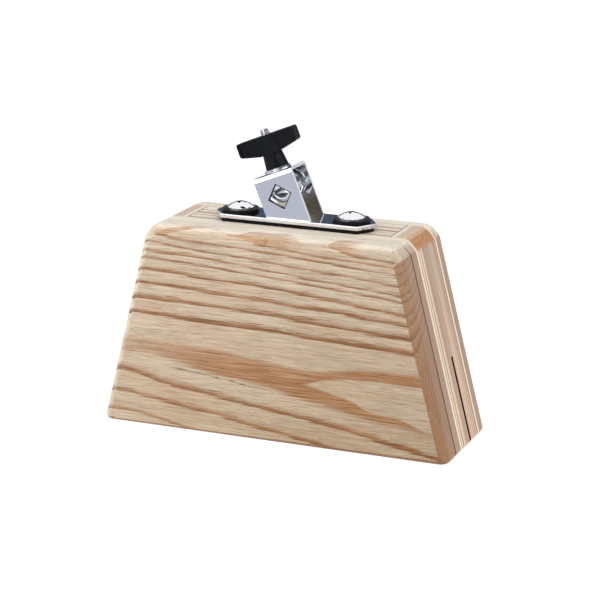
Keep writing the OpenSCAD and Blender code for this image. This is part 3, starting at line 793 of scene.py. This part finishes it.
def folded_shade_tones(tree, place, metal, colour, roughness):
    """The folded bracket's colour and roughness: painted shade and a painted reflection of the wood inside, where it is
    also duller, and a painted dark reflection round the square holes.
    """
    _, y, z = add(tree, "SeparateXYZ", place).outputs
    side = add(tree, "Math:ABSOLUTE", y)
    outside = add(tree, "MapRange", side, *(BRACKET_INNER + fade for fade in WALL_FADE))
    outside = add(tree, "Math:MAXIMUM", outside, add(tree, "MapRange", z, *BRACKET_LIT))
    tone = add(tree, "Mix", outside, metal.inside, colour, **COLOUR)
    # Painted dark reflection round the square holes.
    near = add(tree, "VectorMath:SUBTRACT", place, HOLE_MIDDLE)
    aside = []
    for way in (BOLT_AXIS, (BOLT_AXIS.z, 0, -BOLT_AXIS.x)):
        off = add(tree, "VectorMath:DOT_PRODUCT", near, way)
        aside.append(add(tree, "Math:ABSOLUTE", off))
    off = apart(tree, add(tree, "Math:ADD", *aside), HOLE_REACH)
    tone = add(tree, "Mix", add(tree, "MapRange", off, *HOLE_RIM_REFLECTION), tone, metal.rim, **COLOUR)
    return tone, add(tree, "Mix", outside, INSIDE_ROUGHNESS, roughness)


def plated_material(name, metal, colour, finish, folded=False):
    """Polished metal with faint waves and fine rubs."""
    roughness, wave = finish
    material, tree = new_material(name)
    place = place_in_mm(tree)
    waves = pattern(tree, place, "waves", (wave, wave, wave), 1)
    rubs = pattern(tree, place, "rubs", RUB_SIZE, 4)
    spread = add(tree, "MapRange", rubs, *RUB_RANGE, roughness, roughness + RUB_ROUGHER)
    if folded:
        colour, spread = folded_shade_tones(tree, place, metal, colour, spread)
    close_surface(tree, colour, spread, waves, WAVE_RELIEF, {"Metallic": 1.0})
    return material


# Roughness of the rubber and of the nut, and the size in mm of the grain that the mould left, which is drawn
# coarser than the real 0.1 mm, so that it shows.
RUBBER, NYLON = (0.33, 0.4), (0.36, 0.3)
# Relief of that grain, its range and what it adds to the roughness or takes away, and the size of the dust in mm.
GRIT_RELIEF, GRIT_RANGE, GRIT_SHARE = (0.3, 0.04), (0.3, 0.7), 0.05
DUST_SIZE, DUST_RANGE, DUST_STRENGTH = (5, 5, 5), (0.35, 0.7), 0.01
BLACK_IOR, BLACK_GLOSS = 1.5, 0.1


def black_material(name, black, colour, finish):
    """Black rubber or moulded plastic: fine grain, and a little dust in it."""
    roughness, grain = finish
    material, tree = new_material(name)
    place = place_in_mm(tree)
    grit = pattern(tree, place, "grit", (grain, grain, grain), 2)
    haze = add(tree, "MapRange", pattern(tree, place, "dust", DUST_SIZE, 2), *DUST_RANGE, 0, DUST_STRENGTH)
    body = add(tree, "Mix", haze, colour, black.dust, **COLOUR)
    spread = add(tree, "MapRange", grit, *GRIT_RANGE, roughness - GRIT_SHARE, roughness + GRIT_SHARE)
    satin = {"IOR": BLACK_IOR, "Specular IOR Level": BLACK_GLOSS}
    close_surface(tree, body, spread, grit, GRIT_RELIEF, satin)
    return material


# Points that the camera and the lamps look at in mm, the way from there to each lamp, and how broad it is.
CAMERA_TARGET, LAMP_TARGET = (4.86, 0.0, 80.9), (0.0, 0.0, 65.0)
KEY_WAY, KEY_SIZE = (-0.62, -0.95, 0.8), 850 * MM
FILL_WAY, FILL_ANGLE = (0.95, -0.2, 0.5), math.radians(60)
# Width of the camera's film in mm, half the width of the floor in metres, what that adds for the eye and for
# reflections, and the sides of each flag.
FILM_WIDTH, FLOOR_SIZE, FLOOR_LIFT, FLAG_SIDES = 36.0, 12.0, 0.5, 96

# Tones of the flags round the chrome, from behind the block (0) to ahead of the bracket's front wall (1). Each flag
# is a ring between two edges, given as radius and height in mm.
FLAG_AHEAD = (-0.383, -0.924, 0.0)
SLATE, GREY, PAPER, INK, LILAC = (srgb(code) for code in ("4C5868", "74746B", "F0F1F3", "24282E", "D2D4DF"))
FLAGS = (
    ("horizon_flag", (1100, 290), (1100, 620), ((0.0, SLATE), (0.45, SLATE), (0.75, GREY), (1.0, GREY))),
    ("table_flag", (260, 2), (1000, 2), (
        (0.0, PAPER), (0.12, PAPER), (0.2, INK), (0.49, INK), (0.56, PAPER), (0.86, PAPER), (0.93, LILAC), (1.0, LILAC),
    )),
)


class WOODBLOCK_OT_studio(Operator):
    """Set up the white floor, the soft lamps and the camera"""

    bl_idname = "woodblock.studio"
    bl_label = "Studio"

    def execute(self, context):
        scene, studio = context.scene, context.scene.woodblock_studio
        camera = bpy.data.cameras.new("Camera")
        camera.lens = studio.lens
        camera.sensor_width = FILM_WIDTH
        level = math.cos(studio.pitch)
        back = Vector((math.sin(studio.yaw) * level, -math.cos(studio.yaw) * level, math.sin(studio.pitch)))
        scene.camera = self.aim(scene, camera, CAMERA_TARGET, back, studio.distance)
        scene.view_settings.view_transform = "Standard"
        for name, kind, strength, breadth, size, way in (
            ("Key", "AREA", studio.key, "size", KEY_SIZE, KEY_WAY),
            ("Fill", "SUN", studio.fill, "angle", FILL_ANGLE, FILL_WAY),
        ):
            lamp = bpy.data.lights.new(name, kind)
            lamp.energy = strength
            setattr(lamp, breadth, size)
            self.aim(scene, lamp, LAMP_TARGET, Vector(way).normalized(), studio.reach)
        self.surroundings(scene, studio)
        self.floor(studio)
        self.flags()
        return {"FINISHED"}

    def aim(self, scene, data, target, back, distance):
        """Puts a camera or a lamp at a distance from the point that it looks at."""
        holder = bpy.data.objects.new(data.name, data)
        holder.location = Vector(target) * MM + back * distance
        holder.rotation_euler = back.to_track_quat("Z", "Y").to_euler()
        scene.collection.objects.link(holder)
        return holder

    def seen(self, tree):
        """1 for the rays of the eye, of reflections and of glass."""
        rays = add(tree, "LightPath").outputs
        seen = add(tree, "Math:MAXIMUM", rays["Is Camera Ray"], rays["Is Glossy Ray"])
        return add(tree, "Math:MAXIMUM", seen, rays["Is Transmission Ray"])

    def surroundings(self, scene, studio):
        """White paper all round: full white to the eye, and softer as a light."""
        scene.world = bpy.data.worlds.new("White studio")
        scene.world.use_nodes = True
        tree = scene.world.node_tree
        tree.nodes.clear()
        level = add(tree, "MapRange", self.seen(tree), 0, 1, studio.sky, 1.0)
        add(tree, "OutputWorld", add(tree, "Background", (1, 1, 1), level))

    def floor(self, studio):
        """Matt white paper, which the eye sees as white and which keeps the block's shadow."""
        shape = bmesh.new()
        bmesh.ops.create_grid(shape, x_segments=2, y_segments=2, size=FLOOR_SIZE)
        material, tree = new_material("White studio floor")
        lift = add(tree, "Math:MULTIPLY", self.seen(tree), FLOOR_LIFT)
        matt = add(tree, "BsdfDiffuse", studio.floor)
        add(tree, "OutputMaterial", add(tree, "AddShader", matt, add(tree, "Emission", (1, 1, 1), lift)))
        new_object(shape, "floor", material)

    def flags(self):
        """Dark and grey card flags that only reflections see, so that the chrome has something to reflect."""
        for name, (inner, low), (outer, high), stops in FLAGS:
            shape = bmesh.new()
            bmesh.ops.create_circle(shape, cap_ends=False, segments=FLAG_SIDES, radius=inner * MM)
            made = bmesh.ops.extrude_edge_only(shape, edges=shape.edges[:])
            rim = [v for v in made["geom"] if isinstance(v, bmesh.types.BMVert)]
            bmesh.ops.scale(shape, verts=rim, vec=(outer / inner, outer / inner, 1))
            bmesh.ops.translate(shape, verts=rim, vec=(0, 0, (high - low) * MM))
            bmesh.ops.translate(shape, verts=shape.verts, vec=(0, 0, low * MM))
            material, tree = new_material(name.replace("_", " "))
            flat = add(tree, "VectorMath:MULTIPLY", add(tree, "TexCoord").outputs["Object"], (1, 1, 0))
            way = add(tree, "VectorMath:NORMALIZE", flat)
            ahead = add(tree, "VectorMath:DOT_PRODUCT", way, FLAG_AHEAD)
            tone = lay_stops(add(tree, "ValToRGB", add(tree, "MapRange", ahead, -1, 1)), stops)
            add(tree, "OutputMaterial", add(tree, "Emission", tone, 1.0))
            flag = new_object(shape, name, material)
            for kind in ("camera", "diffuse", "transmission", "shadow", "volume_scatter"):
                setattr(flag, "visible_" + kind, False)


class WOODBLOCK_OT_boards(Operator):
    """Dress the struck board and the back board in flat-sawn ash"""

    bl_idname = "woodblock.boards"
    bl_label = "Boards"

    def execute(self, context):
        wood = context.scene.woodblock_wood
        # Ash, flat sawn, sanded and sprayed with satin lacquer: pale wood crossed by tan stripes that are sharp at
        # the foot and feather out above, a broad flame where the saw ran along a ring, and fine dark open pores.
        ash = ash_board_material(wood)
        smooth_piece("front_board", "struck_board", ash, "block")
        # The same ash with straighter grain: level tan streaks on pale wood and on a cream top that is painted light
        # from above, and brown end grain.
        back = plain_timber_material(
            "Back ash board, satin lacquer", wood, wood.pale, wood.stripe, BACK_GRAIN, wood.cream, wood.liner
        )
        smooth_piece("back_board", "rear_board", back, "block")
        return {"FINISHED"}


class WOODBLOCK_OT_layers(Operator):
    """Dress the liner, the veneers and the rails"""

    bl_idname = "woodblock.layers"
    bl_label = "Inner layers"

    def execute(self, context):
        wood = context.scene.woodblock_wood
        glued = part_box("front_liner")[0].y
        # Pinkish hardwood, sawn and lacquered: an even band with fine darker streaks behind a dark glue line.
        # Its cream top is painted light from above.
        liner = plain_timber_material(
            "Liner, hardwood ply", wood, wood.liner, wood.rail_dark, LINER_GRAIN, wood.cream, glue_at=glued
        )
        # Sliced ash veneer, seen on its edge: thin, almost even pale lines.
        veneer = plain_timber_material("Veneer, sliced ash", wood, wood.veneer, wood.cream, VENEER_GRAIN)
        # Ash sawn along the grain: cream, with tan streaks along the block.
        level = plain_timber_material("Level rail, sawn ash", wood, wood.cream, wood.stripe, LEVEL_GRAIN)
        # Ash with its grain up the slope: pink and grey-green streaks on the ends, ringed end grain on top.
        upright = end_rail_material(wood)
        dress(["front_liner"], liner)
        dress(["front_veneer", "rear_veneer"], veneer)
        dress(["left_end_rail", "right_end_rail"], upright)
        dress(["top_rail", "bottom_rail_front", "bottom_rail_rear"], level)
        return {"FINISHED"}


class WOODBLOCK_OT_rubber(Operator):
    """Dress the gasket and the screw washers in black rubber"""

    bl_idname = "woodblock.rubber"
    bl_label = "Rubber"

    def execute(self, context):
        black = context.scene.woodblock_black
        # Black rubber, moulded: a soft broad sheen on the rounded rims, and deep black below.
        rubber = black_material("Black rubber, moulded", black, black.rubber, RUBBER)
        dress(["mount_gasket"], rubber)
        for side in ("left", "right"):
            smooth_piece("screw_washer_" + side, "rubber_washer_" + side, rubber, "block")
        return {"FINISHED"}


class WOODBLOCK_OT_clamp(Operator):
    """Dress the plate, the bracket and the screws in bright chrome"""

    bl_idname = "woodblock.clamp"
    bl_label = "Clamp"

    def execute(self, context):
        metal = context.scene.woodblock_metal
        # Stamped steel, polished and chromed: a mirror with a faint wave, and bright lines on its rounded edges.
        chrome = plated_material("Chromed steel, polished", metal, metal.chrome, CHROME)
        bevelled_piece("base_plate", "clamp_plate", chrome, "block", metal.edge)
        # The same on the folded sheet, with painted shade and a painted reflection of the wood inside, which is also
        # duller, and a painted dark reflection round the square holes.
        folded = plated_material("Chromed sheet steel, folded", metal, metal.chrome, CHROME, folded=True)
        bevelled_piece("clamp_bracket", "rod_bracket", folded, "block", metal.edge)
        # Domed screws under brighter chrome: each gathers the whole white studio in one small mirror.
        bright = plated_material("Chromed steel, domed screws", metal, metal.dome, DOMES)
        for side in ("left", "right"):
            smooth_piece("mount_screw_" + side, "domed_screw_" + side, bright, "block")
        return {"FINISHED"}


# The bolt's thread from the tip down, and the stretch at the tip where its radius is read, in metres.
THREAD_LENGTH, TIP_STRETCH = 27.5 * MM, 5 * MM
# The core starts this far inside the bolt, and its tip narrows by a chamfer of this width and height to a low dome.
CORE_OVERLAP, CHAMFER_WIDTH, CHAMFER_HEIGHT, DOME = 0.3 * MM, 1.1 * MM, 0.6 * MM, 0.05 * MM
# The ridge sinks into the core, and stops below the tip. Its foot and its crest are shares of half the pitch.
RIDGE_SINK, RIDGE_STOP, RIDGE_FOOT, RIDGE_CREST = 0.05 * MM, 1.4 * MM, 0.9, 0.14


class WOODBLOCK_OT_bolt(Operator):
    """Cut the thread on the eye bolt and dress the bolt and its washer"""

    bl_idname = "woodblock.bolt"
    bl_label = "Eye bolt"

    def execute(self, context):
        metal = context.scene.woodblock_metal
        # Forged and turned steel, bright plated: softer than the chrome, with short blurred highlights.
        steel = plated_material("Steel, bright plated", metal, metal.bolt, STEEL)
        smooth_piece("clamp_washer", "flat_washer", steel, "block")
        shape = merged_copy("eye_bolt")
        along = [(v.co - BOLT_FOOT).dot(BOLT_AXIS) for v in shape.verts]
        off = [((v.co - BOLT_FOOT).cross(BOLT_AXIS)).length for v in shape.verts]
        top = max(along)
        radius = max(d for d, s in zip(off, along) if s > top - TIP_STRETCH)
        start = top - THREAD_LENGTH
        bmesh.ops.bisect_plane(
            shape,
            geom=shape.verts[:] + shape.edges[:] + shape.faces[:],
            dist=MERGE_DISTANCE,
            plane_co=BOLT_FOOT + BOLT_AXIS * start,
            plane_no=BOLT_AXIS,
            clear_outer=True,
        )
        bmesh.ops.holes_fill(shape, edges=[e for e in shape.edges if e.is_boundary])
        self.shank(shape, metal, radius, start, top)
        self.ridge(shape, metal, radius, start, top)
        smooth_edges(shape, THREAD_ANGLE)
        stand_in(shape, "eye_bolt", "threaded_eye_bolt", steel, "eye_bolt")
        return {"FINISHED"}

    def turn(self, shape, verts, edges, **options):
        """Spins an outline round the bolt's axis and puts it in place."""
        bmesh.ops.spin(shape, geom=verts + edges, cent=(0, 0, 0), axis=(0, 0, 1), **options)
        found, queue = set(verts), list(verts)
        while queue:
            for edge in queue.pop().link_edges:
                fresh = [vert for vert in edge.verts if vert not in found]
                found.update(fresh)
                queue.extend(fresh)
        bmesh.ops.transform(shape, matrix=BOLT_FRAME, verts=list(found))
        return found

    def shank(self, shape, metal, radius, start, top):
        """The core under the thread, turned with a chamfered tip."""
        root = radius - metal.thread_depth
        foot, tip = start - CORE_OVERLAP, radius - CHAMFER_WIDTH
        outline = [(0, foot), (root, foot), (root, top - CHAMFER_HEIGHT), (tip, top - DOME), (0, top)]
        verts = [shape.verts.new((r, 0, s)) for r, s in outline]
        edges = [shape.edges.new(pair) for pair in zip(verts, verts[1:])]
        turned = self.turn(shape, verts, edges, angle=2 * math.pi, steps=metal.thread_sides, use_merge=True)
        bmesh.ops.remove_doubles(shape, verts=list(turned), dist=MERGE_DISTANCE)

    def ridge(self, shape, metal, radius, start, top):
        """One V ridge wound along the shank at the thread's pitch."""
        root = radius - metal.thread_depth - RIDGE_SINK
        foot, crest = RIDGE_FOOT * metal.pitch / 2, RIDGE_CREST * metal.pitch / 2
        outline = [(root, -foot), (radius, -crest), (radius, crest), (root, foot)]
        base = start + metal.pitch
        verts = [shape.verts.new((r, 0, base + s)) for r, s in outline]
        edges = [shape.edges.new((verts[i], verts[i - 1])) for i in range(len(verts))]
        turns = int((top - RIDGE_STOP - base) / metal.pitch)
        wound = self.turn(
            shape,
            verts,
            edges,
            dvec=(0, 0, metal.pitch / metal.thread_sides),
            angle=2 * math.pi * turns,
            steps=metal.thread_sides * turns,
        )
        bmesh.ops.holes_fill(shape, edges=[e for e in shape.edges if e.is_boundary and e.verts[0] in wound])
        bmesh.ops.recalc_face_normals(shape, faces=list({f for v in wound for f in v.link_faces}))


class WOODBLOCK_OT_nut(Operator):
    """Dress the moulded wing nut and its brass bush"""

    bl_idname = "woodblock.nut"
    bl_label = "Wing nut"

    def execute(self, context):
        black, metal = context.scene.woodblock_black, context.scene.woodblock_metal
        # Black nylon, moulded in a finely textured mould: satin, with dim highlights along its edges.
        plastic = black_material("Black nylon, moulded", black, black.plastic, NYLON)
        smooth_piece("wing_nut", "moulded_wing_nut", plastic, "wing_nut")
        # Brass, turned and tapped: warm and a little dull.
        brass = plated_material("Brass, turned", metal, metal.brass, BRASS)
        dress(["wing_nut_insert"], brass)
        return {"FINISHED"}


OPERATORS = (
    WOODBLOCK_OT_studio,
    WOODBLOCK_OT_boards,
    WOODBLOCK_OT_layers,
    WOODBLOCK_OT_rubber,
    WOODBLOCK_OT_clamp,
    WOODBLOCK_OT_bolt,
    WOODBLOCK_OT_nut,
)
SETTINGS = {
    "woodblock_wood": WoodSettings,
    "woodblock_metal": MetalSettings,
    "woodblock_black": BlackSettings,
    "woodblock_studio": StudioSettings,
}


class WOODBLOCK_PT_panel(Panel):
    """Shows the woodblock's settings and the buttons of its dressing steps"""

    bl_idname = "WOODBLOCK_PT_panel"
    bl_label = "Woodblock"
    bl_space_type = "VIEW_3D"
    bl_region_type = "UI"
    bl_category = "Woodblock"

    def draw(self, context):
        for group in SETTINGS:
            settings = getattr(context.scene, group)
            box = self.layout.box()
            for name in settings.__annotations__:
                box.prop(settings, name)
        for operator in OPERATORS:
            self.layout.operator(operator.bl_idname)


def register():
    for settings in SETTINGS.values():
        bpy.utils.register_class(settings)
    for name, settings in SETTINGS.items():
        setattr(bpy.types.Scene, name, PointerProperty(type=settings))
    for kind in (*OPERATORS, WOODBLOCK_PT_panel):
        bpy.utils.register_class(kind)


def unregister():
    for kind in (WOODBLOCK_PT_panel, *reversed(OPERATORS)):
        bpy.utils.unregister_class(kind)
    for name in SETTINGS:
        delattr(bpy.types.Scene, name)
    for settings in reversed(SETTINGS.values()):
        bpy.utils.unregister_class(settings)


def main():
    register()
    bpy.ops.woodblock.studio()
    bpy.ops.woodblock.boards()
    bpy.ops.woodblock.layers()
    bpy.ops.woodblock.rubber()
    bpy.ops.woodblock.clamp()
    bpy.ops.woodblock.bolt()
    bpy.ops.woodblock.nut()
    bpy.context.view_layer.update()


if __name__ == "__main__":
    main()
